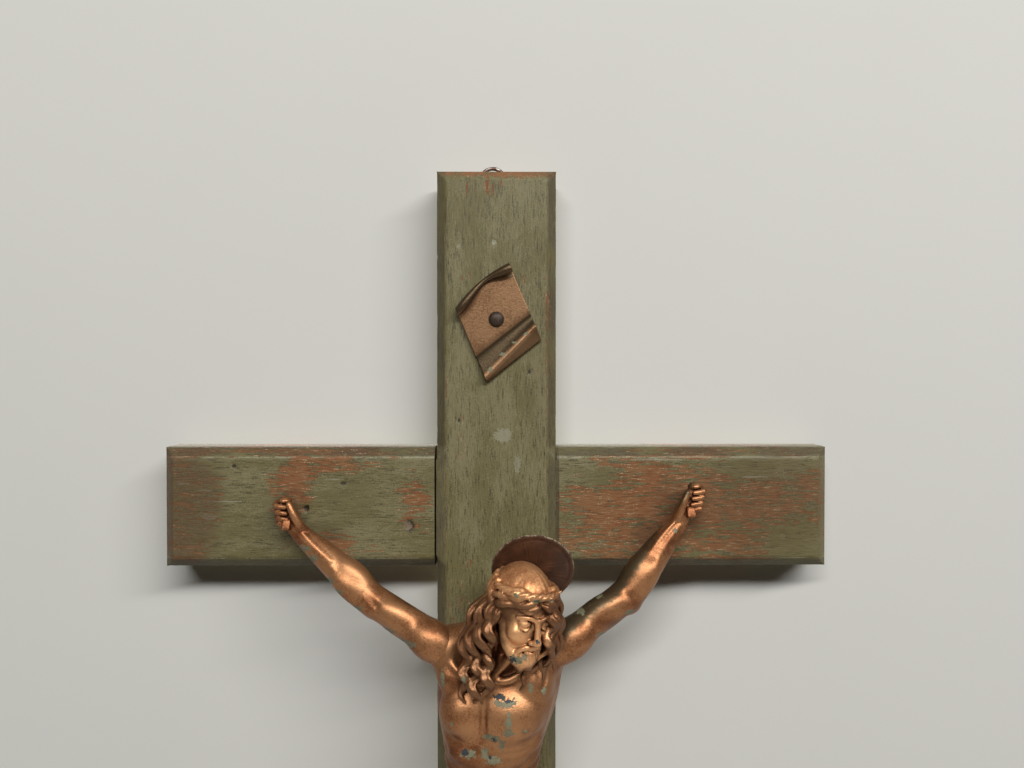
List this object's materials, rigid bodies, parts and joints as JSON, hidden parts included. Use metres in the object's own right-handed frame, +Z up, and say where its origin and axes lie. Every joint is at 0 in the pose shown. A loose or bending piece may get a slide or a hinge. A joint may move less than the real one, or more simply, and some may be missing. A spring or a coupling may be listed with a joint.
{
  "type": "wall crucifix",
  "caption": "Painted wooden wall cross with halved boards, a cast metal figure with pinned arms, a tilted halo disc, a scroll that turns on its nail and a swinging hanging ring.",
  "frame": {"origin": "middle of the crossing, on the boards' back face", "axes": "+Z up along the upright, +X to the right seen from the front, +Y out of the back towards the wall"},
  "size_m": [0.304, 0.0773, 0.5957],
  "materials": {
    "painted_wood": "worn olive paint over red-brown primer",
    "bronze_paint": "bronze paint, chipped",
    "brown_sheet": "dark brown, satin",
    "scroll_sheet": "bronze paint, worn",
    "bronze_nail": "bronze paint over iron",
    "dark_nail": "dark oxide",
    "hanger_steel": "dull plated steel",
    "screw_steel": "dull steel"
  },
  "bodies": {
    "cross": {"upright": "painted_wood", "crossbar": "painted_wood", "lap_screws": "screw_steel", "figure_body": "bronze_paint", "left_arm": "bronze_paint", "right_arm": "bronze_paint", "shoulder_pins": "screw_steel", "halo": "brown_sheet", "halo_pin": "screw_steel", "left_hand_nail": "bronze_nail", "right_hand_nail": "bronze_nail", "foot_nail": "bronze_nail", "title_nail": "dark_nail", "hanger_strap": "hanger_steel", "hanger_screws": "screw_steel"},
    "scroll": {"title_scroll": "scroll_sheet"},
    "ring": {"hanger_ring": "hanger_steel"}
  },
  "joints": [
    {"name": "scroll_turn", "type": "hinge", "parent": "cross", "child": "scroll", "pos_m": [0, -0.0215, 0.0858], "axis": [0, -1, 0], "continuous": true},
    {"name": "ring_swing", "type": "hinge", "parent": "cross", "child": "ring", "pos_m": [-0.002, 0.00258, 0.1478], "axis": [-1, 0, 0], "range_deg": [-8, 150]}
  ]
}
